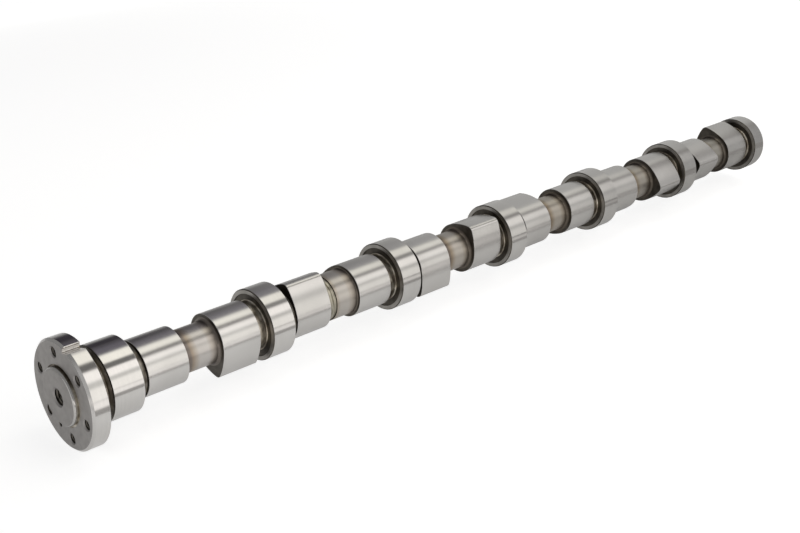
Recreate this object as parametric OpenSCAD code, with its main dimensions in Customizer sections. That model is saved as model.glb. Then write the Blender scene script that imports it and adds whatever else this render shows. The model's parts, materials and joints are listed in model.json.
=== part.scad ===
// Camshaft of a six-cylinder in-line engine, turned and ground from one steel bar.
// The shaft lies along X. The origin is the centre of the flange's front face, where the
// timing gear seats, and the far end points to +X. Angles are seen from the front,
// measured from straight up (+Z) towards +Y.

/* [Bearing journals] */
// Distance from one cylinder's centre to the next
cylinder_pitch = 150; // [146:0.5:160]
// Diameter of all seven journals
journal_d = 65; // [64.6:0.1:72]
// Width of the second to sixth journal
journal_w = 24; // [16:0.5:28]
// Width of the front journal, behind the flange
front_journal_w = 28; // [24:0.5:34]
// Width of the last journal, at the far end
rear_journal_w = 20; // [12:0.5:30]
// Chamfer on the edges of the journals
journal_edge = 0.8; // [0.3:0.1:1.5]
// Diameter inside the raised ring on a journal's front face
face_ring_d = 57; // [52:0.5:61]
// How far that ring stands proud
face_ring_h = 0.8; // [0.3:0.1:1.5]

/* [Lobes] */
// Diameter of the base circle
base_d = 49.5; // [48:0.1:51]
// Lift of the lobes for the first valve of each cylinder
lift_a = 7.3; // [6:0.1:7.5]
// Lift of the lobes for the second valve of each cylinder
lift_b = 7.3; // [6:0.1:7.5]
// Radius of the nose
nose_r = 6.5; // [5:0.1:9]
// Radius of the flanks
flank_r = 57; // [48:1:80]
// Width of a lobe
lobe_w = 38; // [32:0.5:40]
// Distance from a journal's centre to the centre of the lobe beside it
lobe_offset = 39; // [37:0.5:40]
// Angle from the notch in the rim to the nose of the front cylinder's first lobe
first_lobe_angle = 123; // [0:1:359]
// Angle from a cylinder's first lobe to its second
lobe_separation = 101; // [90:1:120]

/* [Shaft] */
// Diameter of the necks between the two lobes of a cylinder
neck_d = 38; // [32:0.5:42]
// Fillet at the ends of the necks
neck_fillet = 2.5; // [1:0.1:3]
// Diameter of the grooves between the lobes and the journals
relief_d = 44; // [40:0.5:46.5]
// Fillet at the bottom of those grooves
relief_fillet = 1; // [0.5:0.1:1.4]
// Diameter of the thicker neck that carries a steady while grinding
steady_d = 43; // [42:0.5:46]
// Diameter of the recess between that neck and the lobe in front of it
steady_recess_d = 41; // [38:0.5:41.5]
// Width of that recess
steady_recess_w = 10; // [4:0.5:12]
// Cylinder whose neck is the thick one, counted from the flange
steady_cylinder = 2; // [1:1:6]

/* [Flange] */
// Diameter of the flange
flange_d = 93; // [92:0.5:100]
// Thickness of the flange
flange_t = 15; // [12:0.5:20]
// Chamfer round the front of the flange
flange_chamfer = 2; // [0.5:0.1:3]
// Chamfer round the back of the flange
flange_back_edge = 0.5; // [0.2:0.1:1]
// Width of the groove between the flange and the front journal
flange_gap = 11; // [6:0.5:16]
// Diameter of that groove
flange_gap_d = 50; // [44:0.5:56]
// Diameter of the boss that centres the gear
boss_d = 49; // [46:0.1:52]
// Height of the boss
boss_h = 4; // [3:0.1:8]
// Radius round the edge of the boss
boss_edge = 2.2; // [0.5:0.1:2.8]
// Width of the relief groove round the foot of the boss
boss_relief_w = 1.5; // [1:0.1:2.5]
// Depth of that relief groove
boss_relief_depth = 0.8; // [0.3:0.1:1.5]
// Angle at which the timing notch lies, opposite the dowel hole
notch_angle = -18.6; // [-180:0.1:180]
// Angle from there to the steep wall of the notch, which points at the axis
notch_lead = 7.2; // [5:0.1:9]
// Angle between the two walls of the notch
notch_v = 60; // [50:1:65]
// Depth of the timing notch at its steep wall
notch_depth = 6.3; // [4:0.1:7]

/* [Holes] */
// Circle on which the gear's bolt holes lie
bolt_circle_d = 72; // [70:0.5:74]
// Number of bolt holes
bolt_count = 6; // [4:1:6]
// Core diameter of the bolt holes
bolt_core_d = 8.5; // [6.8:0.1:8.7]
// Diameter of the countersink of the bolt holes
bolt_sink_d = 10.4; // [9:0.1:11]
// Distance from the axis to the dowel hole, opposite the notch
dowel_radius = 31; // [30:0.5:34]
// Diameter of the dowel hole
dowel_d = 4; // [3:0.1:4.1]
// Diameter of the countersink of the dowel hole
dowel_sink_d = 4.8; // [4.2:0.1:6]
// Depth of the dowel hole
dowel_depth = 8; // [5:0.5:10]
// Core diameter of the threaded hole in the boss
centre_core_d = 14; // [10.2:0.1:15]
// Depth of that core, without its drill point
centre_depth = 34; // [24:1:50]
// Diameter of the countersink of that hole
centre_sink_d = 16.6; // [15.5:0.1:18]
// Mouth of the turning centre in the far end
rear_centre_d = 12; // [8:0.5:16]
// Diameter of the pilot of that turning centre
rear_pilot_d = 5; // [3:0.5:6]
// Depth of that pilot, counted from the far end
rear_pilot_depth = 16; // [14:0.5:20]

/* [Hidden] */
$fn = 96;
// Cylinders in the order in which they fire, counted from the flange
firing_order = [1, 5, 3, 6, 2, 4];
cylinders = len(firing_order);
firing_step = 360 / cylinders;
// Included angles of a drill's point, of a countersink and of a turning centre
drill_point = 118;
sink_angle = 90;
centre_angle = 60;
// Straight cuts reach this far past the surfaces that they break through
clear = 1;
// A lobe's nose is rooted this deep in the base circle's cylinder
nose_root = 1.5;
// Steps in which fillets and the arcs of the lobes are drawn
fillet_steps = 4;
nose_steps = 8;
flank_steps = 10;

journal_r = journal_d / 2;
base_r = base_d / 2;
neck_r = neck_d / 2;
relief_r = relief_d / 2;
flange_r = flange_d / 2;
boss_r = boss_d / 2;
front_journal_x = flange_t + flange_gap;
first_centre = front_journal_x + front_journal_w - journal_w / 2;
shaft_end = journal_centre(cylinders) - journal_w / 2 + rear_journal_w;

// Centre of a journal, counted from 0 at the flange
function journal_centre(i) = first_centre + i * cylinder_pitch;
// Where the two lobes of a cylinder begin
function lobe_a_start(cyl) = journal_centre(cyl - 1) + lobe_offset - lobe_w / 2;
function lobe_b_start(cyl) = journal_centre(cyl) - lobe_offset - lobe_w / 2;
// How many firing steps a cylinder is behind the first one
function firing_place(cyl) = search(cyl, firing_order)[0];

// A fillet from a wall down to a floor, as [radius, x] points.
// side is 1 where the wall is in front of the floor and -1 where it is behind it.
function fillet(floor_r, wall_x, r, side) = [
    for (k = [0 : fillet_steps])
        let (a = 90 * (side > 0 ? k : fillet_steps - k) / fillet_steps)
            [floor_r + r * (1 - sin(a)), wall_x + side * r * (1 - cos(a))]
];

// A groove or neck from wall to wall
function groove(r, from_x, to_x, f) = concat(fillet(r, from_x, f, 1), fillet(r, to_x, f, -1));

// The neck of one cylinder, with a recess and a step where it carries the steady
function neck(cyl) =
    let (from_x = lobe_a_start(cyl) + lobe_w, to_x = lobe_b_start(cyl), step_x = from_x + steady_recess_w)
        cyl != steady_cylinder
            ? groove(neck_r, from_x, to_x, neck_fillet)
            : concat(
                fillet(steady_recess_d / 2, from_x, relief_fillet, 1),
                [[steady_recess_d / 2, step_x], [steady_d / 2, step_x]],
                fillet(steady_d / 2, to_x, relief_fillet, -1)
            );

// The outside of a journal, with its chamfers
function journal_rim(from_x, to_x) = [
    [journal_r - journal_edge, from_x],
    [journal_r, from_x + journal_edge],
    [journal_r, to_x - journal_edge],
    [journal_r - journal_edge, to_x]
];

// The raised ring on the front face of a journal
function face_ring(x) = [[face_ring_d / 2, x + face_ring_h], [face_ring_d / 2, x]];

// From the back of one journal to the back of the next: groove, neck, groove, journal.
// The lobes cover the stretches between a groove and the neck.
function bay(cyl) =
    let (
        a_x = lobe_a_start(cyl),
        b_x = lobe_b_start(cyl),
        next_x = journal_centre(cyl) - journal_w / 2,
        next_w = cyl < cylinders ? journal_w : rear_journal_w
    )
        concat(
            groove(relief_r, journal_centre(cyl - 1) + journal_w / 2, a_x, relief_fillet),
            neck(cyl),
            groove(relief_r, b_x + lobe_w, next_x + face_ring_h, relief_fillet),
            face_ring(next_x),
            journal_rim(next_x, next_x + next_w)
        );

// The front end: boss, its relief groove and the flange
front_end = [
    [0, -boss_h],
    each arc(boss_r - boss_edge, boss_edge - boss_h, boss_edge, -90, 0, fillet_steps),
    [boss_r, boss_edge - boss_h],
    [boss_r, boss_relief_depth],
    [boss_r + boss_relief_w, boss_relief_depth],
    [boss_r + boss_relief_w, 0],
    [flange_r - flange_chamfer, 0],
    [flange_r, flange_chamfer],
    [flange_r, flange_t - flange_back_edge],
    [flange_r - flange_back_edge, flange_t]
];

half_section = concat(
    front_end,
    groove(flange_gap_d / 2, flange_t, front_journal_x, relief_fillet),
    journal_rim(front_journal_x, front_journal_x + front_journal_w),
    [for (cyl = [1 : cylinders]) each bay(cyl)],
    [[0, shaft_end]]
);

// Points of an arc round [cx, cy], without its last point
function arc(cx, cy, r, from_a, to_a, steps) = [
    for (k = [0 : steps - 1])
        let (a = from_a + (to_a - from_a) * k / steps) [cx + r * cos(a), cy + r * sin(a)]
];

// One half of a nose that points along +X: nose arc, then a flank arc that is tangent to the
// nose and to the base circle, then a short way down into the base circle
function half_nose(lift) =
    let (
        nose_c = base_r + lift - nose_r,
        to_base = flank_r - base_r,
        to_nose = flank_r - nose_r,
        flank_x = (to_base ^ 2 - to_nose ^ 2 + nose_c ^ 2) / (2 * nose_c),
        flank_y = -sqrt(to_base ^ 2 - flank_x ^ 2),
        base_a = atan2(-flank_y, -flank_x),
        nose_a = atan2(-flank_y, nose_c - flank_x)
    )
        concat(
            arc(nose_c, 0, nose_r, 0, nose_a, nose_steps / 2),
            arc(flank_x, flank_y, flank_r, nose_a, base_a, flank_steps),
            arc(0, 0, base_r - nose_root, base_a, 0, nose_steps)
        );

module turned_shaft() {
    rotate([0, 90, 0]) rotate_extrude() polygon(half_section);
}

// A lobe from x on: the disc of the base circle, with the nose standing out of it
module lobe(x, angle, lift) {
    upper = half_nose(lift);
    lower = [for (k = [len(upper) - 1 : -1 : 1]) [upper[k][0], -upper[k][1]]];
    inner = [[base_r - nose_root, 0]];
    rotate([-angle, 0, 0])
        rotate([0, -90, 0])
            translate([0, 0, -x - lobe_w])
                linear_extrude(lobe_w)
                    union() {
                        circle(base_r);
                        polygon(concat(upper, inner, lower));
                    }
}

module lobes() {
    for (cyl = [1 : cylinders]) {
        a_angle = notch_angle + first_lobe_angle + firing_place(cyl) * firing_step;
        lobe(lobe_a_start(cyl), a_angle, lift_a);
        lobe(lobe_b_start(cyl), a_angle + lobe_separation, lift_b);
    }
}

// A hole along X with its mouth at x, opening towards -X, and with a countersink
module hole(x, core_d, depth, sink_d) {
    sink_h = (sink_d - core_d) / 2 / tan(sink_angle / 2);
    translate([x - clear, 0, 0]) rotate([0, 90, 0]) cylinder(d = core_d, h = depth + clear);
    translate([x, 0, 0]) rotate([0, 90, 0]) cylinder(d1 = sink_d, d2 = core_d, h = sink_h);
}

// The cone that a drill leaves at the bottom of a hole
module drill_tip(x, d) {
    translate([x, 0, 0]) rotate([0, 90, 0]) cylinder(d1 = d, d2 = 0, h = d / 2 / tan(drill_point / 2));
}

module bolt_holes() {
    for (k = [0 : bolt_count - 1])
        rotate([-(notch_angle + (k + 0.5) * 360 / bolt_count), 0, 0])
            translate([0, 0, bolt_circle_d / 2]) hole(0, bolt_core_d, flange_t + clear, bolt_sink_d);
}

module dowel_hole() {
    rotate([-(notch_angle + 180), 0, 0])
        translate([0, 0, dowel_radius]) {
            hole(0, dowel_d, dowel_depth, dowel_sink_d);
            drill_tip(dowel_depth, dowel_d);
        }
}

module centre_hole() {
    hole(-boss_h, centre_core_d, centre_depth, centre_sink_d);
    drill_tip(centre_depth - boss_h, centre_core_d);
}

module rear_centre() {
    cone_h = (rear_centre_d - rear_pilot_d) / 2 / tan(centre_angle / 2);
    translate([shaft_end, 0, 0])
        rotate([0, -90, 0]) {
            cylinder(d1 = rear_centre_d, d2 = rear_pilot_d, h = cone_h);
            translate([0, 0, -clear]) cylinder(d = rear_pilot_d, h = rear_pilot_depth + clear);
        }
}

// A V across the rim: one wall points at the axis, the other one slopes up to the rim
module timing_notch() {
    cut_h = notch_depth + clear;
    rotate([-(notch_angle + notch_lead), 0, 0])
        translate([-clear, 0, flange_r - notch_depth])
            rotate([90, 0, 90])
                linear_extrude(flange_t + 2 * clear)
                    polygon([[0, 0], [0, cut_h], [-cut_h * tan(notch_v), cut_h]]);
}

module camshaft() {
    color([0.76, 0.75, 0.73])
        difference() {
            union() {
                turned_shaft();
                lobes();
            }
            bolt_holes();
            dowel_hole();
            centre_hole();
            rear_centre();
            timing_notch();
        }
}

camshaft();
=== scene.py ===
"""The finished camshaft: one fine mesh over its CAD frame, with ground, turned and tinted steel.

Lengths are in metres. The shaft lies along X, +Z is up, and an angle round the shaft is
measured from +Z towards +Y. Sizes that the record's mounts give are read from the frame.
"""

import json
import math

import bmesh
import bpy
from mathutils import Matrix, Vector
from mathutils.geometry import delaunay_2d_cdt


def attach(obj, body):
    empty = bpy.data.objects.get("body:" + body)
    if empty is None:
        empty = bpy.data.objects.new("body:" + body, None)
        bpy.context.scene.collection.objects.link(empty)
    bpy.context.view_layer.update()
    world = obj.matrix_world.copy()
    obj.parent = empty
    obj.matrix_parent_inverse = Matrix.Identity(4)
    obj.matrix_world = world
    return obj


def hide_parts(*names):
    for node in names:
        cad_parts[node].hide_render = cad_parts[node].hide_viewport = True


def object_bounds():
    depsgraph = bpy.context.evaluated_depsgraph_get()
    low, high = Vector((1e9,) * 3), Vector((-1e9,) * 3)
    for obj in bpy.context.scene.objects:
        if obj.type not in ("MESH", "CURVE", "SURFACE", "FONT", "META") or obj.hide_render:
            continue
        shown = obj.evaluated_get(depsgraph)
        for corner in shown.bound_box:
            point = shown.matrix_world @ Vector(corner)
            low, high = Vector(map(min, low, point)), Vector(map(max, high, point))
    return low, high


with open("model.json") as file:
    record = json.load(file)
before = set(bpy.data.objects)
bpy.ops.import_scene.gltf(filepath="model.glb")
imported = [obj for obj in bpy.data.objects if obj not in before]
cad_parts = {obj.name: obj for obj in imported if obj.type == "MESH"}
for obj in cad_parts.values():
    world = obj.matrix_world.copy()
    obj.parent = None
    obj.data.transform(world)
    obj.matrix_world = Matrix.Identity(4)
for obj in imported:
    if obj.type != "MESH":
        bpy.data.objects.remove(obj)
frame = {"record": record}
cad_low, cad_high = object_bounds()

MM = 0.001
MOUNTS = {mount["name"]: mount for mount in frame["record"]["mounts"]}


def mount_x(name):
    return MOUNTS[name]["pos_m"][0]


def mount_mm(name, size):
    return MOUNTS[name]["dims"][size] * MM


# Main sizes, from the frame
JOURNAL_R = mount_mm("front_journal", "r_mm")
JOURNAL_EDGE = 0.8 * MM
JOURNAL_HALF_W = mount_mm("second_journal", "length_mm") / 2 + JOURNAL_EDGE
FRONT_JOURNAL_HALF_W = mount_mm("front_journal", "length_mm") / 2 + JOURNAL_EDGE
PITCH = mount_x("third_journal") - mount_x("second_journal")
FIRST_CENTRE = mount_x("second_journal") - PITCH
FLANGE_R = -cad_low.z
BOSS_FRONT = cad_low.x
SHAFT_END = cad_high.x
BOSS_R = mount_mm("gear_spigot", "r_mm")

# Lobes
FIRING_ORDER = (1, 5, 3, 6, 2, 4)
FIRING_STEP = 2 * math.pi / len(FIRING_ORDER)
CYLINDERS = range(1, len(FIRING_ORDER) + 1)
BASE_R = 24.75 * MM
LIFT = 7.3 * MM
NOSE_R = 6.5 * MM
FLANK_R = 57 * MM
LOBE_W = 38 * MM
LOBE_OFFSET = 39 * MM
LOBE_EDGE = 0.25 * MM
NOTCH_ANGLE = math.radians(-18.6)
FIRST_LOBE = NOTCH_ANGLE + math.radians(123)
LOBE_SEPARATION = math.radians(101)

# Necks, grooves and the ring on a journal's front face. The neck of STEADY_CYLINDER is thicker,
# with a recess behind its first lobe.
NECK_R = 19 * MM
NECK_FILLET = 2.5 * MM
GROOVE_R = 22 * MM
GROOVE_FILLET = 1 * MM
STEADY_CYLINDER = 2
STEADY_R = 21.5 * MM
STEADY_RECESS_R = 20.5 * MM
STEADY_RECESS = 10 * MM
RING_R = 28.5 * MM
RING_H = 0.8 * MM

# Flange, boss and notch
FLANGE_T = 15 * MM
FLANGE_CHAMFER = 2 * MM
FLANGE_BACK_EDGE = 0.5 * MM
FLANGE_GAP_R = 25 * MM
BOSS_EDGE = 2.2 * MM
RELIEF_W = 1.5 * MM
RELIEF_DEPTH = 0.8 * MM
NOTCH_WALL = math.atan2(*MOUNTS["timing_notch"]["axis"][1:])
NOTCH_ROOT_R = math.hypot(*MOUNTS["timing_notch"]["pos_m"][1:])
NOTCH_V = math.radians(60)
NOTCH_DEPTH = FLANGE_R - NOTCH_ROOT_R

# Holes: core radii from the mounts, countersinks and threads
BOLT_CIRCLE_R = mount_mm("gear_bolts", "pcd_mm") / 2
BOLT_COUNT = MOUNTS["gear_bolts"]["dims"]["count"]
BOLT_CORE_R = mount_mm("gear_bolts", "hole_r_mm")
BOLT_SINK_R = 5.2 * MM
BOLT_THREAD_PITCH = 1.5 * MM
BOLT_THREAD_DEPTH = 0.75 * MM
CENTRE_CORE_R = mount_mm("centre_thread", "r_mm")
CENTRE_SINK_R = 8.3 * MM
CENTRE_DEPTH = 34 * MM
CENTRE_THREAD_PITCH = 2 * MM
CENTRE_THREAD_DEPTH = 1 * MM
CENTRE_THREAD_LENGTH = 26 * MM
DOWEL_R = mount_mm("dowel_hole", "r_mm")
DOWEL_SINK_R = 2.4 * MM
DOWEL_DEPTH = 8 * MM
REAR_CENTRE_R = 6 * MM
REAR_PILOT_R = mount_mm("rear_centre", "r_mm")
REAR_PILOT_DEPTH = 16 * MM
DRILL_HALF_ANGLE = math.radians(59)
CENTRE_HALF_ANGLE = math.radians(30)

# How finely the surface is drawn
SEGMENTS = 240
STEP = 2 * math.pi / SEGMENTS
NOSE_STEPS = 16
FLANK_STEPS = 32
FILLET_STEPS = 3
NECK_FILLET_STEPS = 5
BOSS_STEPS = 9
BOSS_FACED_STEPS = 3
NOTCH_WALL_STEPS = 2
NOTCH_RAMP_STEPS = 6
BOLT_SEGMENTS = 32
CENTRE_SEGMENTS = 60
DOWEL_SEGMENTS = 24
RINGS_PER_TURN = 5
THREAD_FLANK = 0.375  # share of a thread's pitch that one flank takes
SHARP_ANGLE = math.radians(35)
TRIANGLES_INSIDE = 1  # what delaunay_2d_cdt is asked to return
TOUCHING = 1e-9

FINISHES = (
    "ground", "lobe", "boss", "turned", "groove", "recess",
    "side", "ring", "relief", "faced", "milled", "bore",
)


def between(low, high, share):
    return low + (high - low) * share


def circle(r, count=SEGMENTS, centre=(0, 0)):
    """A circle across the shaft as (y, z) points, from +Z towards +Y."""
    turns = [2 * math.pi * k / count for k in range(count)]
    return [(centre[0] + r * math.sin(a), centre[1] + r * math.cos(a)) for a in turns]


def fillet(floor_r, wall_x, r, side, steps=FILLET_STEPS):
    """(x, radius) pairs from a wall to a floor; side is 1 where the wall is in front, else -1."""
    pairs = []
    for k in range(steps + 1):
        a = math.pi / 2 * (k if side > 0 else steps - k) / steps
        pairs.append((wall_x + side * r * (1 - math.cos(a)), floor_r + r * (1 - math.sin(a))))
    return pairs


def nose_shape(base_r, lift_r, flank_r, nose_r):
    """Centre of the nose, centre of the flank, and the angles at which the arcs meet."""
    nose_c = lift_r - nose_r
    to_base = flank_r - base_r
    to_nose = flank_r - nose_r
    flank_x = (to_base ** 2 - to_nose ** 2 + nose_c ** 2) / (2 * nose_c)
    flank_y = -math.sqrt(to_base ** 2 - flank_x ** 2)
    base_a = math.atan2(-flank_y, -flank_x)
    nose_a = math.atan2(-flank_y, nose_c - flank_x)
    return nose_c, flank_x, flank_y, base_a, nose_a


def lobe_outline(nose_angle, inset=0.0):
    """A lobe's outline as (y, z) points, in step with the circles' points beside it."""
    nose_c, flank_x, flank_y, base_a, nose_a = nose_shape(BASE_R, BASE_R + LIFT, FLANK_R, NOSE_R)
    first = round(nose_angle / STEP)
    base_steps = SEGMENTS // 2 - NOSE_STEPS - FLANK_STEPS
    along = Vector((math.sin(nose_angle), math.cos(nose_angle)))
    across = Vector((math.cos(nose_angle), -math.sin(nose_angle)))
    outline = [None] * SEGMENTS
    for j in range(-SEGMENTS // 2, SEGMENTS // 2):
        k = abs(j)
        if k <= NOSE_STEPS:
            a = nose_a * k / NOSE_STEPS
            u, v, r = nose_c, 0, NOSE_R
        elif k <= NOSE_STEPS + FLANK_STEPS:
            a = nose_a + (base_a - nose_a) * (k - NOSE_STEPS) / FLANK_STEPS
            u, v, r = flank_x, flank_y, FLANK_R
        else:
            a = base_a + (math.pi - base_a) * (k - NOSE_STEPS - FLANK_STEPS) / base_steps
            u, v, r = 0, 0, BASE_R
        u += (r - inset) * math.cos(a)
        v += (r - inset) * math.sin(a)
        point = along * u + across * math.copysign(v, j)
        outline[(first + j) % SEGMENTS] = (point.x, point.y)
    return outline


def notched_circle(r):
    """The flange's outline: round from the notch's wall to its ramp, down the ramp, up the wall."""
    slope = math.tan(NOTCH_V)
    steep = 1 + slope ** 2
    reach = math.sqrt(NOTCH_ROOT_R ** 2 + steep * (r ** 2 - NOTCH_ROOT_R ** 2))
    rise = (reach - NOTCH_ROOT_R) / steep
    notch_angle = math.atan2(rise * slope, NOTCH_ROOT_R + rise)
    round_steps = SEGMENTS - NOTCH_RAMP_STEPS - NOTCH_WALL_STEPS
    turns = [(2 * math.pi - notch_angle) * k / round_steps for k in range(round_steps)]
    heights = [rise * (1 - k / NOTCH_RAMP_STEPS) for k in range(NOTCH_RAMP_STEPS)]
    levels = [between(NOTCH_ROOT_R, r, k / NOTCH_WALL_STEPS) for k in range(NOTCH_WALL_STEPS)]
    corners = [(r * math.cos(a), r * math.sin(a)) for a in turns]
    corners += [(NOTCH_ROOT_R + height, -height * slope) for height in heights]
    corners += [(level, 0) for level in levels]
    up = Vector((math.sin(NOTCH_WALL), math.cos(NOTCH_WALL)))
    over = Vector((math.cos(NOTCH_WALL), -math.sin(NOTCH_WALL)))
    return [tuple(up * u + over * v) for u, v in corners]


class Skin:
    """The shaft's surface as it is built: points, faces, and the finish of each face."""

    def __init__(self):
        self.points = []
        self.faces = []
        self.finishes = []

    def loop(self, x, outline):
        first = len(self.points)
        self.points += [(x, y, z) for y, z in outline]
        return list(range(first, len(self.points)))

    def face(self, corners, finish):
        self.faces.append(corners)
        self.finishes.append(FINISHES.index(finish))

    def band(self, a, b, finish):
        """Quads between two loops of as many points."""
        for k in range(len(a)):
            n = (k + 1) % len(a)
            self.face((a[k], a[n], b[n], b[k]), finish)

    def run(self, start, stations):
        """Bands from a loop on through (x, outline or radius, finish) stations."""
        for x, shape, finish in stations:
            outline = shape if isinstance(shape, list) else circle(shape)
            end = self.loop(x, outline)
            self.band(start, end, finish)
            start = end
        return start

    def refinish(self, first_face, segments, finish):
        """Another finish for these segments of the full bands from a face on."""
        for start in range(first_face, len(self.faces), SEGMENTS):
            for segment in segments:
                self.finishes[start + segment] = FINISHES.index(finish)

    def cone_end(self, loop, x, centre, finish):
        """Closes a loop with a cone or a flat bottom."""
        tip = self.loop(x, [centre])[0]
        for k in range(len(loop)):
            self.face((loop[k], loop[(k + 1) % len(loop)], tip), finish)

    def flat(self, outer, inner_loops, finish):
        """Fills the flat face between an outer loop and the loops of its holes."""
        loops = [outer, *inner_loops]
        order = [index for loop in loops for index in loop]
        owner = [number for number, loop in enumerate(loops) for _ in loop]
        edges = []
        first = 0
        for loop in loops:
            edges += [(first + k, first + (k + 1) % len(loop)) for k in range(len(loop))]
            first += len(loop)
        flat_points = [Vector(self.points[index][1:]) for index in order]
        made = delaunay_2d_cdt(flat_points, edges, [], TRIANGLES_INSIDE, TOUCHING, True)
        triangles, origins = made[2:4]
        source = [numbers[0] for numbers in origins]
        for triangle in triangles:
            corners = [source[point] for point in triangle]
            owners = {owner[corner] for corner in corners}
            a, b, c = (flat_points[corner] for corner in sorted(corners))
            # Corners of one loop alone lie in a hole or, turning the other way, in the notch
            if len(owners) == 1 and (owners != {0} or (b - a).cross(c - a) > 0):
                continue
            self.face(tuple(order[corner] for corner in corners), finish)


def thread_radius(core_r, depth, pitch, travel, turn):
    """Radius of an internal thread: flat crests at the core, sharp roots, and a soft run-in."""
    phase = (travel / pitch - turn) % 1
    height = max(0.0, 1 - abs(phase - 0.5) / THREAD_FLANK)
    return core_r + depth * height * min(1.0, travel / pitch)


def threaded_bore(skin, mouth, centre, from_x, to_x, core_r, depth, pitch, sink_finish):
    """Rings of a threaded bore from its mouth loop on, and the loop at its end."""
    count = len(mouth)
    rings = round((to_x - from_x) / pitch * RINGS_PER_TURN)
    start = mouth
    for ring in range(rings + 1):
        x = from_x + (to_x - from_x) * ring / rings
        outline = []
        for k in range(count):
            turn = k / count
            r = thread_radius(core_r, depth, pitch, x - from_x, turn)
            a = 2 * math.pi * turn
            outline.append((centre[0] + r * math.sin(a), centre[1] + r * math.cos(a)))
        end = skin.loop(x, outline)
        skin.band(start, end, "bore" if ring else sink_finish)
        start = end
    return start


def journal_centre(number):
    return FIRST_CENTRE + number * PITCH


def groove_stations(r, from_x, to_x, radius, steps, finish, wall):
    """Stations from the wall at from_x, down, along the floor and up to the wall at to_x."""
    down = fillet(r, from_x, radius, 1, steps)
    up = fillet(r, to_x, radius, -1, steps)
    stations = [(down[0][0], down[0][1], wall)]
    stations += [(x, level, finish) for x, level in down[1:] + up]
    return stations


def lobe_stations(x, angle, wall):
    edge = lobe_outline(angle, LOBE_EDGE)
    full = lobe_outline(angle)
    return [
        (x, edge, wall),
        (x + LOBE_EDGE, full, "lobe"),
        (x + LOBE_W - LOBE_EDGE, full, "lobe"),
        (x + LOBE_W, edge, "lobe"),
    ]


def journal_stations(from_x, to_x):
    rim = JOURNAL_R - JOURNAL_EDGE
    return [
        (from_x, rim, "ring"),
        # The front chamfer takes the dark end-face finish as painted shade on the chamfer
        (from_x + JOURNAL_EDGE, JOURNAL_R, "side"),
        (to_x - JOURNAL_EDGE, JOURNAL_R, "ground"),
        (to_x, rim, "ground"),
    ]


def neck_stations(cylinder, from_x, to_x):
    if cylinder != STEADY_CYLINDER:
        return groove_stations(
            NECK_R, from_x, to_x, NECK_FILLET, NECK_FILLET_STEPS, "turned", "side"
        )
    step_x = from_x + STEADY_RECESS
    down = fillet(STEADY_RECESS_R, from_x, GROOVE_FILLET, 1)
    up = fillet(STEADY_R, to_x, GROOVE_FILLET, -1)
    stations = [(down[0][0], down[0][1], "side")]
    stations += [(x, level, "recess") for x, level in down[1:]]
    stations += [
        (step_x, STEADY_RECESS_R, "recess"),
        (step_x, STEADY_R - LOBE_EDGE, "side"),
        (step_x + LOBE_EDGE, STEADY_R, "turned"),
    ]
    stations += [(x, level, "turned") for x, level in up]
    return stations


def bay_stations(cylinder):
    """From the back of one journal to the back of the next."""
    back = journal_centre(cylinder - 1) + LOBE_OFFSET - LOBE_W / 2
    a_angle = FIRST_LOBE + FIRING_ORDER.index(cylinder) * FIRING_STEP
    b_x = journal_centre(cylinder) - LOBE_OFFSET - LOBE_W / 2
    groove_x = journal_centre(cylinder - 1) + JOURNAL_HALF_W
    next_x = journal_centre(cylinder) - JOURNAL_HALF_W
    next_end = SHAFT_END if cylinder == CYLINDERS[-1] else next_x + 2 * JOURNAL_HALF_W
    stations = groove_stations(
        GROOVE_R, groove_x, back, GROOVE_FILLET, FILLET_STEPS, "groove", "side"
    )
    stations += lobe_stations(back, a_angle, "side")
    stations += neck_stations(cylinder, back + LOBE_W, b_x)
    stations += lobe_stations(b_x, a_angle + LOBE_SEPARATION, "side")
    stations += groove_stations(
        GROOVE_R, b_x + LOBE_W, next_x + RING_H, GROOVE_FILLET, FILLET_STEPS, "groove", "side"
    )
    stations += [(next_x + RING_H, RING_R, "side"), (next_x, RING_R, "side")]
    stations += journal_stations(next_x, next_end)
    return stations


def bolt_centres():
    angles = [NOTCH_ANGLE + (k + 0.5) * 2 * math.pi / BOLT_COUNT for k in range(BOLT_COUNT)]
    return [(BOLT_CIRCLE_R * math.sin(a), BOLT_CIRCLE_R * math.cos(a)) for a in angles]


def bolt_hole(skin, centre):
    """One tapped hole through the flange: its loops in the front face and in the back face."""
    front = skin.loop(0, circle(BOLT_SINK_R, BOLT_SEGMENTS, centre))
    thread_x = BOLT_SINK_R - BOLT_CORE_R
    back = threaded_bore(
        skin, front, centre, thread_x, FLANGE_T,
        BOLT_CORE_R, BOLT_THREAD_DEPTH, BOLT_THREAD_PITCH, "faced",
    )
    return front, back


def blind_end(skin, loop, x, r, centre, count):
    end = skin.loop(x, circle(r, count, centre))
    skin.band(loop, end, "bore")
    skin.cone_end(end, x + r / math.tan(DRILL_HALF_ANGLE), centre, "bore")


def dowel_hole(skin):
    centre = tuple(MOUNTS["dowel_hole"]["pos_m"][1:])
    front = skin.loop(0, circle(DOWEL_SINK_R, DOWEL_SEGMENTS, centre))
    sunk = skin.loop(DOWEL_SINK_R - DOWEL_R, circle(DOWEL_R, DOWEL_SEGMENTS, centre))
    skin.band(front, sunk, "bore")
    blind_end(skin, sunk, DOWEL_DEPTH, DOWEL_R, centre, DOWEL_SEGMENTS)
    return front


def centre_hole(skin):
    mouth = skin.loop(BOSS_FRONT, circle(CENTRE_SINK_R, CENTRE_SEGMENTS))
    thread_x = BOSS_FRONT + CENTRE_SINK_R - CENTRE_CORE_R
    end = threaded_bore(
        skin, mouth, (0, 0), thread_x, BOSS_FRONT + CENTRE_THREAD_LENGTH,
        CENTRE_CORE_R, CENTRE_THREAD_DEPTH, CENTRE_THREAD_PITCH, "faced",
    )
    blind_end(skin, end, BOSS_FRONT + CENTRE_DEPTH, CENTRE_CORE_R, (0, 0), CENTRE_SEGMENTS)
    return mouth


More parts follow.
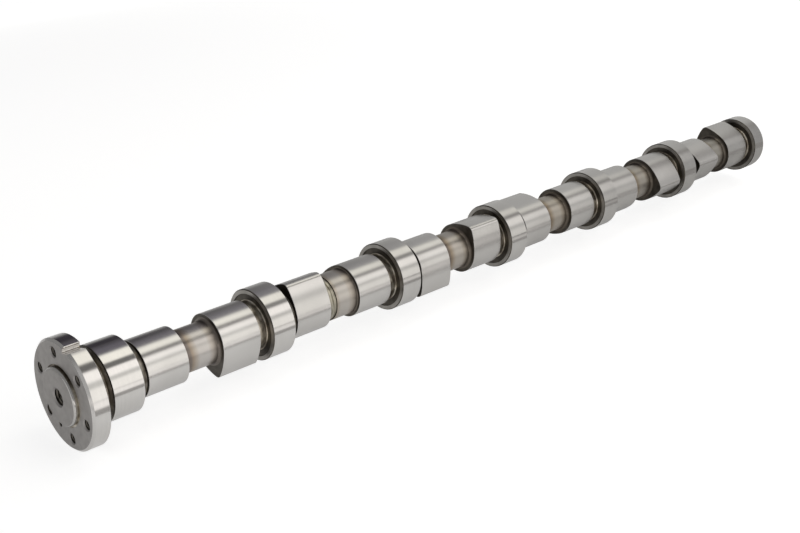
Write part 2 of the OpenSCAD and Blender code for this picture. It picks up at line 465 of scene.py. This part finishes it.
def front_end(skin):
    """Boss, relief groove and flange with their holes, up to the loop at the flange's back."""
    boss_edge = skin.loop(BOSS_FRONT, circle(BOSS_R - BOSS_EDGE))
    skin.flat(boss_edge, [centre_hole(skin)], "faced")
    corner = []
    for k in range(1, BOSS_STEPS + 1):
        a = math.pi / 2 * k / BOSS_STEPS
        x = BOSS_FRONT + BOSS_EDGE * (1 - math.cos(a))
        finish = "faced" if k <= BOSS_FACED_STEPS else "boss"
        corner.append((x, BOSS_R - BOSS_EDGE * (1 - math.sin(a)), finish))
    foot = skin.run(boss_edge, [
        *corner,
        (RELIEF_DEPTH, BOSS_R, "relief"),
        (RELIEF_DEPTH, BOSS_R + RELIEF_W, "relief"),
        (0, BOSS_R + RELIEF_W, "relief"),
    ])
    holes = [bolt_hole(skin, centre) for centre in bolt_centres()]
    front_rim = skin.loop(0, notched_circle(FLANGE_R - FLANGE_CHAMFER))
    front_loops = [front for front, _ in holes]
    skin.flat(front_rim, [foot, dowel_hole(skin), *front_loops], "faced")
    rim_faces = len(skin.faces)
    back_rim = skin.run(front_rim, [
        (FLANGE_CHAMFER, notched_circle(FLANGE_R), "lobe"),
        (FLANGE_T - FLANGE_BACK_EDGE, notched_circle(FLANGE_R), "ground"),
        (FLANGE_T, notched_circle(FLANGE_R - FLANGE_BACK_EDGE), "ground"),
    ])
    notch_steps = NOTCH_RAMP_STEPS + NOTCH_WALL_STEPS
    skin.refinish(rim_faces, range(SEGMENTS - notch_steps, SEGMENTS), "milled")
    gap = skin.loop(FLANGE_T, circle(FLANGE_GAP_R + GROOVE_FILLET))
    skin.flat(back_rim, [gap, *[back for _, back in holes]], "side")
    return gap


def rear_end(skin, rim):
    """The far face with its turning centre."""
    mouth = skin.run(rim, [(SHAFT_END, REAR_CENTRE_R, "faced")])
    cone_h = (REAR_CENTRE_R - REAR_PILOT_R) / math.tan(CENTRE_HALF_ANGLE)
    pilot = skin.run(mouth, [
        (SHAFT_END - cone_h, REAR_PILOT_R, "bore"),
        (SHAFT_END - REAR_PILOT_DEPTH, REAR_PILOT_R, "bore"),
    ])
    skin.cone_end(pilot, SHAFT_END - REAR_PILOT_DEPTH, (0, 0), "bore")


def build_shaft():
    skin = Skin()
    gap = front_end(skin)
    front_x = mount_x("front_journal") - FRONT_JOURNAL_HALF_W
    groove = groove_stations(
        FLANGE_GAP_R, FLANGE_T, front_x, GROOVE_FILLET, FILLET_STEPS, "groove", "side"
    )
    stations = groove[1:] + journal_stations(front_x, FIRST_CENTRE + JOURNAL_HALF_W)
    for cylinder in CYLINDERS:
        stations += bay_stations(cylinder)
    rear_end(skin, skin.run(gap, stations))

    mesh = bpy.data.meshes.new("camshaft_body")
    mesh.from_pydata(skin.points, [], skin.faces)
    mesh.polygons.foreach_set("material_index", skin.finishes)
    mesh.polygons.foreach_set("use_smooth", [True] * len(skin.faces))
    mesh.update()
    body = bpy.data.objects.new("camshaft_body", mesh)
    bpy.context.scene.collection.objects.link(body)
    face_outwards(body)
    mesh.set_sharp_from_angle(angle=SHARP_ANGLE)
    weighted = body.modifiers.new("face_normals", "WEIGHTED_NORMAL")
    weighted.keep_sharp = True
    return body


def face_outwards(body):
    work = bmesh.new()
    work.from_mesh(body.data)
    bmesh.ops.recalc_face_normals(work, faces=work.faces)
    work.to_mesh(body.data)
    work.free()


# Sockets of a mix node that mixes colours: factor, A, B, and the result
COLOUR_MIX_INPUTS = (0, 6, 7)
COLOUR_MIX_OUTPUT = 2
QUARTER_TURN = 0.25


class Finish:
    """A steel material being put together from nodes."""

    def __init__(self, name, roughness, anisotropy):
        self.material = bpy.data.materials.new(name)
        self.material.use_nodes = True
        self.tree = self.material.node_tree
        self.shader = self.tree.nodes["Principled BSDF"]
        self.shader.inputs["Metallic"].default_value = 1.0
        self.shader.inputs["Roughness"].default_value = roughness
        self.shader.inputs["Anisotropic"].default_value = anisotropy
        self.shader.inputs["Anisotropic Rotation"].default_value = QUARTER_TURN
        self.place = self.node("ShaderNodeTexCoord").outputs["Object"]
        if anisotropy:
            tangent = self.node("ShaderNodeTangent")
            tangent.direction_type = "RADIAL"
            tangent.axis = "X"
            self.link(tangent.outputs["Tangent"], self.shader.inputs["Tangent"])

    def node(self, kind):
        return self.tree.nodes.new(kind)

    def link(self, output, socket):
        self.tree.links.new(output, socket)

    def math(self, operation, *values):
        made = self.node("ShaderNodeMath")
        made.operation = operation
        for socket, value in zip(made.inputs, values):
            if isinstance(value, (int, float)):
                socket.default_value = value
            else:
                self.link(value, socket)
        return made.outputs[0]

    def scaled(self, x_scale, other_scale):
        """Object coordinates stretched so that noise on them runs in rings round the shaft."""
        made = self.node("ShaderNodeMapping")
        made.inputs["Scale"].default_value = (x_scale, other_scale, other_scale)
        self.link(self.place, made.inputs["Vector"])
        return made.outputs[0]

    def axis(self, name):
        """A point's X, Y or Z."""
        axes = self.node("ShaderNodeSeparateXYZ")
        self.link(self.place, axes.inputs[0])
        return axes.outputs[name]

    def share(self, value, low, high):
        """How far a value lies from low to high."""
        return self.math("DIVIDE", self.math("SUBTRACT", value, low), high - low)

    def x_share(self, from_x, to_x):
        """How far a point lies from from_x to to_x along the shaft."""
        return self.share(self.axis("X"), from_x, to_x)

    def bay_share(self):
        """How far a point lies from one journal's centre to the next one's."""
        return self.math("FRACT", self.x_share(FIRST_CENTRE, FIRST_CENTRE + PITCH))

    def noise(self, vector, scale=1.0, detail=3.0):
        made = self.node("ShaderNodeTexNoise")
        made.inputs["Scale"].default_value = scale
        made.inputs["Detail"].default_value = detail
        self.link(vector, made.inputs["Vector"])
        return made.outputs["Fac"]

    def ramp(self, value, stops):
        made = self.node("ShaderNodeValToRGB")
        elements = made.color_ramp.elements
        while len(elements) < len(stops):
            elements.new(0.5)
        for element, (position, colour) in zip(elements, stops):
            element.position = position
            element.color = (*colour, 1) if isinstance(colour, tuple) else (colour,) * 3 + (1,)
        self.link(value, made.inputs["Fac"])
        return made.outputs["Color"]

    def mix(self, share, a, b, blend="MIX"):
        made = self.node("ShaderNodeMix")
        made.data_type = "RGBA"
        made.blend_type = blend
        factor, colour_a, colour_b = (made.inputs[number] for number in COLOUR_MIX_INPUTS)
        for socket, value in ((factor, share), (colour_a, a), (colour_b, b)):
            if isinstance(value, tuple):
                socket.default_value = (*value, 1)
            elif isinstance(value, (int, float)):
                socket.default_value = value
            else:
                self.link(value, socket)
        return made.outputs[COLOUR_MIX_OUTPUT]

    def colour(self, output):
        self.link(output, self.shader.inputs["Base Color"])

    def rough(self, output, low, high):
        spread = self.node("ShaderNodeMapRange")
        self.link(output, spread.inputs["Value"])
        spread.inputs["To Min"].default_value = low
        spread.inputs["To Max"].default_value = high
        self.link(spread.outputs["Result"], self.shader.inputs["Roughness"])

    def bump(self, output, height, strength):
        made = self.node("ShaderNodeBump")
        made.inputs["Strength"].default_value = strength
        made.inputs["Distance"].default_value = height
        self.link(output, made.inputs["Height"])
        self.link(made.outputs["Normal"], self.shader.inputs["Normal"])


def ground_finish(name, smoothest, roughest, ring_shade):
    """Ground steel with fine rings round the shaft."""
    finish = Finish(name, smoothest, 0.6)
    rings = finish.noise(finish.scaled(2600, 14), 1.0, 2.0)
    patches = finish.noise(finish.place, 22.0, 3.0)
    colour = finish.ramp(patches, ((0.35, (0.60, 0.585, 0.565)), (0.65, (0.65, 0.635, 0.615))))
    streaks = finish.ramp(rings, ((0.3, ring_shade), (0.7, 1.0)))
    finish.colour(finish.mix(1.0, colour, streaks, "MULTIPLY"))
    finish.rough(rings, smoothest, roughest)
    finish.bump(rings, 0.004 * MM, 0.12)
    return finish.material


def ground_steel():
    """Journals and rim: ground to a soft mirror."""
    return ground_finish("ground_steel", 0.13, 0.17, 0.94)


def lobe_steel():
    """Lobes and the flange's chamfer: ground a little coarser."""
    return ground_finish("lobe_steel", 0.24, 0.28, 0.97)


def boss_steel():
    """The boss's rounded edge: turned smooth."""
    return ground_finish("boss_steel", 0.22, 0.28, 0.8)


# Heat tint and painted shade of the necks from the lobe in front to the lobe behind, as (share of
# the way, colour): the steep darkening next to each lobe is partly heat tint and partly painted
# shade. It wanders by NECK_WANDER of the way, and is cool at the first neck, warm at the fourth and
# greyer at the last.
NECK_TINT_AND_SHADE = (
    (0.10, (0.155, 0.135, 0.12)),
    (0.19, (0.22, 0.19, 0.165)),
    (0.24, (0.33, 0.275, 0.215)),
    (0.32, (0.42, 0.38, 0.325)),
    (0.42, (0.51, 0.49, 0.46)),
    (0.68, (0.53, 0.51, 0.48)),
    (0.79, (0.44, 0.405, 0.36)),
    (0.88, (0.29, 0.26, 0.228)),
    (0.96, (0.175, 0.155, 0.135)),
)
NECK_COOL_X = 0.12
NECK_WARM_X = 0.55
NECK_GREY_X = 0.87
NECK_COOL = (1.12, 1.11, 1.12)
NECK_WARM = (0.96, 0.915, 0.85)
NECK_GREY = (0.86, 0.845, 0.81)
NECK_FROM = LOBE_OFFSET + LOBE_W / 2
NECK_TO = PITCH - NECK_FROM
NECK_WANDER = 0.16


def turned_steel():
    """Necks: smooth, with heat tint towards the lobes, darkened next to them by painted shade."""
    finish = Finish("turned_steel", 0.25, 0.6)
    rings = finish.noise(finish.scaled(1500, 10), 1.0, 2.0)
    share = finish.share(finish.bay_share(), NECK_FROM / PITCH, NECK_TO / PITCH)
    blotches = finish.noise(finish.place, 16.0, 2.0)
    wander = finish.math("MULTIPLY_ADD", blotches, NECK_WANDER, -NECK_WANDER / 2)
    # Painted shade: the ramp darkens the neck steeply next to the lobes, on top of the heat tint
    tint_and_shade = finish.ramp(finish.math("ADD", share, wander), NECK_TINT_AND_SHADE)
    warmth = finish.mix(finish.x_share(NECK_COOL_X, NECK_WARM_X), NECK_COOL, NECK_WARM)
    warmth = finish.mix(finish.x_share(NECK_WARM_X, NECK_GREY_X), warmth, NECK_GREY)
    tint_and_shade = finish.mix(1.0, tint_and_shade, warmth, "MULTIPLY")
    streaks = finish.ramp(rings, ((0.3, 0.94), (0.7, 1.0)))
    finish.colour(finish.mix(1.0, tint_and_shade, streaks, "MULTIPLY"))
    finish.rough(rings, 0.33, 0.39)
    finish.bump(rings, 0.004 * MM, 0.2)
    return finish.material


def groove_steel():
    """Floors of the grooves beside the journals: brown streaks, darker behind a journal."""
    finish = Finish("groove_steel", 0.3, 0.5)
    rings = finish.noise(finish.scaled(280, 100), 1.0, 4.0)
    stops = ((0.36, (0.32, 0.275, 0.22)), (0.5, (0.60, 0.535, 0.44)), (0.62, (0.92, 0.86, 0.75)))
    darker_behind = ((0.14, 0.35), (0.2, 1.0), (0.99, 1.0), (1.0, 0.35))
    behind_journal = finish.ramp(finish.bay_share(), darker_behind)
    streaks = finish.mix(1.0, finish.ramp(rings, stops), behind_journal, "MULTIPLY")
    patches = finish.ramp(finish.noise(finish.place, 70.0, 2.0), ((0.42, 0.55), (0.6, 1.0)))
    finish.colour(finish.mix(1.0, streaks, patches, "MULTIPLY"))
    finish.rough(rings, 0.26, 0.38)
    return finish.material


def recess_steel():
    """The shallow recess beside the thick neck: rough turned and golden grey."""
    finish = Finish("recess_steel", 0.3, 0.4)
    rings = finish.noise(finish.scaled(500, 60), 1.0, 3.0)
    stops = ((0.38, (0.15, 0.135, 0.10)), (0.5, (0.27, 0.25, 0.195)), (0.62, (0.48, 0.45, 0.37)))
    finish.colour(finish.ramp(rings, stops))
    finish.rough(rings, 0.28, 0.4)
    return finish.material


def relief_steel():
    """The boss's wall and the relief round its foot: stained brown in blotches, and darkened at the
    top by a painted dark reflection.
    """
    finish = Finish("relief_steel", 0.35, 0.3)
    spots = finish.noise(finish.place, 160.0, 3.0)
    stained = finish.ramp(spots, ((0.38, (0.38, 0.345, 0.295)), (0.6, (0.74, 0.70, 0.62))))
    height = finish.share(finish.axis("Z"), -BOSS_R, BOSS_R)
    # Painted dark reflection: the colour darkens towards the top of the wall and the relief
    painted_reflection_top = finish.ramp(height, ((0.76, 1.0), (0.9, (0.31, 0.28, 0.245))))
    finish.colour(finish.mix(1.0, stained, painted_reflection_top, "MULTIPLY"))
    finish.rough(spots, 0.3, 0.42)
    return finish.material


def spotted_finish(name, scale, dark, light, smoothest, roughest):
    """Steel that is darker and lighter in spots, and the spots."""
    finish = Finish(name, smoothest, 0.3)
    spots = finish.noise(finish.place, scale, 4.0)
    finish.colour(finish.ramp(spots, ((0.3, dark), (0.7, light))))
    finish.rough(spots, smoothest, roughest)
    return finish, spots


def side_steel():
    """End faces of journals and lobes: left dark."""
    dark, light = (0.07, 0.063, 0.054), (0.14, 0.127, 0.107)
    finish, _ = spotted_finish("side_steel", 120.0, dark, light, 0.34, 0.48)
    return finish.material


def ring_steel():
    """Raised rings on the journals' front faces, which the bushes have rubbed lighter."""
    dark, light = (0.32, 0.305, 0.28), (0.48, 0.46, 0.43)
    finish, _ = spotted_finish("ring_steel", 120.0, dark, light, 0.3, 0.42)
    return finish.material


# Dark lines in the notch, as (from, to) in notch depths: heights on its wall, and below zero the
# way across its ramp. The first, at the ramp's top edge, is painted shade; the other three are
# lines that the cutter left. LINE_RANGE takes in all of both.
CUTTER_AND_SHADE_LINES = ((-1.44, -1.36), (-0.42, -0.32), (0.1, 0.2), (0.7, 0.8))
LINE_EDGE = 0.03
LINE_RANGE = (-2.0, 1.2)
LINE_DARK = (0.2, 0.175, 0.15)
LINE_BRIGHT = (0.97, 0.95, 0.93)


def milled_steel():
    """The notch: bright, with dark lines along the shaft and brown at its back end."""
    finish = Finish("milled_steel", 0.2, 0.0)
    finish.shader.inputs["Metallic"].default_value = 0.5
    up_y, up_z = math.sin(NOTCH_WALL), math.cos(NOTCH_WALL)
    slant = 1 + 1 / math.tan(NOTCH_V)
    # On the wall this is the height over the root; on the ramp, the way across it, below zero
    way_y = finish.math("MULTIPLY", finish.axis("Y"), up_y + slant * up_z)
    way_z = finish.math("MULTIPLY", finish.axis("Z"), up_z - slant * up_y)
    way = finish.math("SUBTRACT", finish.math("ADD", way_y, way_z), NOTCH_ROOT_R)
    lowest, highest = LINE_RANGE
    share = finish.share(way, lowest * NOTCH_DEPTH, highest * NOTCH_DEPTH)
    stops = []
    # Cutter lines, and one line of painted shade at the ramp's top edge
    for start, end in CUTTER_AND_SHADE_LINES:
        line = (
            (start - LINE_EDGE, LINE_BRIGHT),
            (start, LINE_DARK),
            (end, LINE_DARK),
            (end + LINE_EDGE, LINE_BRIGHT),
        )
        stops += [((place - lowest) / (highest - lowest), colour) for place, colour in line]
    lines = finish.ramp(share, stops)
    back = finish.ramp(finish.x_share(0, FLANGE_T), ((0.94, 0.0), (1.0, 1.0)))
    finish.colour(finish.mix(back, lines, (0.5, 0.43, 0.34)))
    return finish.material


def faced_steel():
    """Flange face and boss: faced, mid grey and matt."""
    dark, light = (0.34, 0.325, 0.312), (0.43, 0.413, 0.398)
    finish, spots = spotted_finish("faced_steel", 160.0, dark, light, 0.4, 0.5)
    finish.bump(spots, 0.02 * MM, 0.3)
    return finish.material


def bore_steel():
    """Inside of the holes: cut threads, coloured dark as painted shade in the holes."""
    finish = Finish("bore_steel", 0.3, 0.0)
    spots = finish.noise(finish.place, 200.0, 3.0)
    # Dark colours: painted shade inside the holes
    finish.colour(finish.ramp(spots, ((0.3, (0.12, 0.11, 0.095)), (0.7, (0.27, 0.25, 0.22)))))
    return finish.material


# Camera, as fitted to the photograph
CAMERA_PLACE = Vector((-0.357893, -0.763221, 0.457445))
CAMERA_TURN = math.radians(46.891)
CAMERA_TILT = math.radians(23.499)
LENS = 53.542
SENSOR = 36.0


def add_camera():
    data = bpy.data.cameras.new("camera")
    data.lens = LENS
    data.sensor_width = SENSOR
    data.sensor_fit = "HORIZONTAL"
    camera = bpy.data.objects.new("camera", data)
    bpy.context.scene.collection.objects.link(camera)
    camera.location = CAMERA_PLACE
    camera.rotation_euler = (math.pi / 2 - CAMERA_TILT, 0, CAMERA_TURN - math.pi / 2)
    bpy.context.scene.camera = camera


# The studio's floor, just under the flange. Rays from the camera see it white. What the steel
# mirrors of it carries painted light: it fades along the shaft as a painted falloff of light, and a
# painted shadow darkens it under the shaft and behind it.
FLOOR_Z = -FLANGE_R - 0.2 * MM
FLOOR_HALF = 30.0
FLOOR_COLOUR = 0.5
FLOOR_GLOW = 0.78
FLOOR_GLOSS_GLOW = 0.58
FLOOR_GLOSS_REST = 0.10
FLOOR_GLOSS_FULL_X = 0.1
FLOOR_GLOSS_REST_X = 1.0
FLOOR_GLOSS_PAINTED_SHADOW = 0.66
FLOOR_UNDER_FROM_Y = -0.08
FLOOR_UNDER_TO_Y = 0.01
WORLD_FILL = 0.5

# The light tent round the shaft
TENT_R = 1.5
TENT_FROM_X = -2.4
TENT_TO_X = 6.0
TENT_COLUMNS = 42
TENT_ROWS = 180
TENT_HALF_ANGLE = 92


def seen_directly(nodes, links, to_camera, to_gloss):
    """A strength for rays from the camera, and one for rays off gloss and through glass."""
    path = nodes.new("ShaderNodeLightPath")
    total = None
    parts = (
        ("Is Camera Ray", to_camera),
        ("Is Glossy Ray", to_gloss),
        ("Is Transmission Ray", to_gloss),
    )
    for name, strength in parts:
        part = nodes.new("ShaderNodeMath")
        part.operation = "MULTIPLY_ADD"
        if isinstance(strength, float):
            part.inputs[1].default_value = strength
        else:
            links.new(strength, part.inputs[1])
        part.inputs[2].default_value = 0.0
        links.new(path.outputs[name], part.inputs[0])
        if total is not None:
            links.new(total, part.inputs[2])
        total = part.outputs[0]
    return total


def add_range(nodes, links, value, from_range, to_range):
    """A value carried over from one range to another, and held at its ends."""
    made = nodes.new("ShaderNodeMapRange")
    made.inputs["From Min"].default_value, made.inputs["From Max"].default_value = from_range
    made.inputs["To Min"].default_value, made.inputs["To Max"].default_value = to_range
    links.new(value, made.inputs["Value"])
    return made.outputs["Result"]


def add_floor():
    mesh = bpy.data.meshes.new("floor")
    corners = [(-1, -1), (1, -1), (1, 1), (-1, 1)]
    points = [(x * FLOOR_HALF, y * FLOOR_HALF, FLOOR_Z) for x, y in corners]
    mesh.from_pydata(points, [], [(0, 1, 2, 3)])
    floor = bpy.data.objects.new("floor", mesh)
    bpy.context.scene.collection.objects.link(floor)
    material = bpy.data.materials.new("floor_paper")
    material.use_nodes = True
    nodes, links = material.node_tree.nodes, material.node_tree.links
    nodes.clear()
    paper = nodes.new("ShaderNodeBsdfDiffuse")
    paper.inputs["Color"].default_value = (FLOOR_COLOUR, FLOOR_COLOUR, FLOOR_COLOUR, 1)
    glow = nodes.new("ShaderNodeEmission")
    place = nodes.new("ShaderNodeTexCoord")
    axes = nodes.new("ShaderNodeSeparateXYZ")
    links.new(place.outputs["Object"], axes.inputs[0])
    # Painted falloff of light: what the steel mirrors of the floor dims along the shaft
    along = (FLOOR_GLOSS_FULL_X, FLOOR_GLOSS_REST_X)
    painted_falloff = add_range(nodes, links, axes.outputs["X"], along, (FLOOR_GLOSS_GLOW, FLOOR_GLOSS_REST))
    # Painted shadow: what the steel mirrors of the floor darkens under the shaft and behind it
    across = (FLOOR_UNDER_FROM_Y, FLOOR_UNDER_TO_Y)
    painted_shadow = add_range(nodes, links, axes.outputs["Y"], across, (1.0, FLOOR_GLOSS_PAINTED_SHADOW))
    gloss = nodes.new("ShaderNodeMath")
    gloss.operation = "MULTIPLY"
    links.new(painted_falloff, gloss.inputs[0])
    links.new(painted_shadow, gloss.inputs[1])
    direct = seen_directly(nodes, links, FLOOR_GLOW, gloss.outputs[0])
    links.new(direct, glow.inputs["Strength"])
    both = nodes.new("ShaderNodeAddShader")
    links.new(paper.outputs[0], both.inputs[0])
    links.new(glow.outputs[0], both.inputs[1])
    output = nodes.new("ShaderNodeOutputMaterial")
    links.new(both.outputs[0], output.inputs["Surface"])
    mesh.materials.append(material)


# The tent glows at TENT_FILL and dims to TENT_FRONT_LEVEL in front of the flange, where a disc
# closes it. Panels lie over that. Their angles are in degrees round the shaft, from straight up,
# and are negative on the camera's side; drift is how far a panel turns at one metre behind
# PANEL_ORIGIN_X, and it grows with the square of that way. The soft edges widen by SOFTENING for
# each metre.
TENT_FILL = 0.36
TENT_FRONT_LEVEL = 0.3
TENT_DIM_FROM_X = 0.3
TENT_DIM_TO_X = 0.0
TENT_DISC_LEVEL = 0.65
SOFTENING = 0.9
PANEL_ORIGIN_X = 0.76
PANELS = (
    # from, to, soft edge, drift, colour, full until x, gone at x
    (10, 110, 8, 0, (0.55, 0.55, 0.54), 9.0, 10.0),
    (14, 50, 9, 0, (0.19, 0.18, 0.21), 0.85, 1.75),
    (42, 84, 14, 0, (0.05, 0.045, 0.055), 0.78, 1.75),
    (-110, 12, 4, 0, (0.86, 0.85, 0.82), 0.76, 3.1),
    (-105, -67, 4, 0, (1.36, 1.33, 1.28), 0.7, 2.6),
    (-55, -20, 4, 0, (1.46, 1.42, 1.38), 1.1, 2.95),
    (-24, 9.5, 4.5, 2, (1.46, 1.43, 1.32), 0.5, 2.7),
    (-31.5, -16.5, 3.5, 3.2, (0.38, 0.37, 0.36), 9.0, 10.0),
    (-33, -18, 3.5, 3.2, (0.20, 0.195, 0.19), 0.78, 1.1),
)

# The card on the table in front of the shaft. It is dark at its near edge and bright from
# CARD_EDGE on, and it fades to CARD_END_LEVEL along the shaft.
CARD_FROM_X = -0.8
CARD_TO_X = 2.4
CARD_NEAR = 0.125
CARD_FAR = 1.4
CARD_EDGE = 0.175
CARD_EDGE_SOFT = 0.05
CARD_Z = FLOOR_Z + 1 * MM
CARD_DARK = 0.45
CARD_BRIGHT = 1.32
CARD_WARMTH = 0.975
CARD_FADE_FROM = 0.15
CARD_FADE_TO = 1.1
CARD_END_LEVEL = 0.33
CARD_COLUMNS = 32
CARD_ROWS = 60


def smooth(value):
    value = min(1.0, max(0.0, value))
    return value * value * (3 - 2 * value)


def tent_colour(x, angle):
    colour = Vector((TENT_FILL,) * 3)
    for start, end, edge, drift, panel, full_x, gone_x in PANELS:
        behind = max(0.0, x - PANEL_ORIGIN_X)
        turned = angle - drift * behind ** 2
        edge *= 1 + SOFTENING * behind
        entered = smooth((turned - start + edge) / edge / 2)
        left = smooth((end + edge - turned) / edge / 2)
        along = min(1.0, max(0.0, (gone_x - x) / (gone_x - full_x)))
        colour = colour.lerp(Vector(panel), entered * left * along)
    dimming = smooth((TENT_DIM_FROM_X - x) / (TENT_DIM_FROM_X - TENT_DIM_TO_X))
    colour = colour.lerp(Vector((TENT_FRONT_LEVEL,) * 3), dimming)
    return (*colour, 1.0)


def add_light_sheet(name, columns, rows, place, colour):
    """A glowing sheet for reflections, hidden from the camera; place and colour take two shares."""
    points = []
    colours = []
    for column in range(columns + 1):
        for row in range(rows + 1):
            share = (column / columns, row / rows)
            points.append(place(*share))
            colours += colour(*share)
    side = rows + 1
    faces = [
        (c * side + r, c * side + r + 1, (c + 1) * side + r + 1, (c + 1) * side + r)
        for c in range(columns)
        for r in range(rows)
    ]
    mesh = bpy.data.meshes.new(name)
    mesh.from_pydata(points, [], faces)
    mesh.attributes.new("light", "FLOAT_COLOR", "POINT").data.foreach_set("color", colours)
    sheet = bpy.data.objects.new(name, mesh)
    bpy.context.scene.collection.objects.link(sheet)
    sheet.visible_camera = False
    material = bpy.data.materials.new(name)
    material.use_nodes = True
    nodes, links = material.node_tree.nodes, material.node_tree.links
    nodes.clear()
    light = nodes.new("ShaderNodeAttribute")
    light.attribute_name = "light"
    glow = nodes.new("ShaderNodeEmission")
    links.new(light.outputs["Color"], glow.inputs["Color"])
    output = nodes.new("ShaderNodeOutputMaterial")
    links.new(glow.outputs[0], output.inputs["Surface"])
    mesh.materials.append(material)
    return sheet


def add_tent_end():
    """The disc that closes the tent far in front of the flange."""
    def place(turn, out):
        a = 2 * math.pi * turn
        return TENT_FROM_X, TENT_R * out * math.sin(a), TENT_R * out * math.cos(a)

    def colour(turn, out):
        return (TENT_DISC_LEVEL,) * 3 + (1.0,)

    disc = add_light_sheet("tent_end", TENT_COLUMNS, 1, place, colour)
    disc.visible_diffuse = False
    disc.visible_shadow = False


def add_tent():
    def place(along, round_share):
        a = math.radians(between(-TENT_HALF_ANGLE, TENT_HALF_ANGLE, round_share))
        return between(TENT_FROM_X, TENT_TO_X, along), TENT_R * math.sin(a), TENT_R * math.cos(a)

    def colour(along, round_share):
        angle = between(-TENT_HALF_ANGLE, TENT_HALF_ANGLE, round_share)
        return tent_colour(between(TENT_FROM_X, TENT_TO_X, along), angle)

    add_light_sheet("light_tent", TENT_COLUMNS, TENT_ROWS, place, colour)


def add_front_card():
    """The card on the table, with rows that lie closer together near the shaft."""
    def spot(along, across):
        return between(CARD_FROM_X, CARD_TO_X, along), between(CARD_NEAR, CARD_FAR, across ** 2)

    def place(along, across):
        x, reach = spot(along, across)
        return x, -reach, CARD_Z

    def colour(along, across):
        x, reach = spot(along, across)
        fade = min(1.0, max(0.0, (x - CARD_FADE_FROM) / (CARD_FADE_TO - CARD_FADE_FROM)))
        bright = smooth((reach - CARD_EDGE) / CARD_EDGE_SOFT)
        level = between(between(CARD_DARK, CARD_BRIGHT, bright), CARD_END_LEVEL, fade)
        return level, level * CARD_WARMTH, level * CARD_WARMTH ** 2, 1.0

    card = add_light_sheet("front_card", CARD_COLUMNS, CARD_ROWS, place, colour)
    card.visible_diffuse = False
    card.visible_shadow = False


def add_world():
    world = bpy.data.worlds.new("studio")
    bpy.context.scene.world = world
    world.use_nodes = True
    nodes, links = world.node_tree.nodes, world.node_tree.links
    nodes.clear()
    background = nodes.new("ShaderNodeBackground")
    background.inputs["Color"].default_value = (1, 1, 1, 1)
    level = nodes.new("ShaderNodeMath")
    level.operation = "ADD"
    level.inputs[1].default_value = WORLD_FILL
    links.new(seen_directly(nodes, links, 1 - WORLD_FILL, 1 - WORLD_FILL), level.inputs[0])
    links.new(level.outputs[0], background.inputs["Strength"])
    output = nodes.new("ShaderNodeOutputWorld")
    links.new(background.outputs[0], output.inputs["Surface"])


add_camera()
camshaft = build_shaft()
MAKERS = (
    ground_steel, lobe_steel, boss_steel, turned_steel, groove_steel, recess_steel,
    side_steel, ring_steel, relief_steel, faced_steel, milled_steel, bore_steel,
)
for make in MAKERS:
    camshaft.data.materials.append(make())
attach(camshaft, "root")
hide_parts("camshaft")
add_floor()
add_tent()
add_tent_end()
add_front_card()
add_world()
bpy.context.scene.view_settings.view_transform = "Standard"
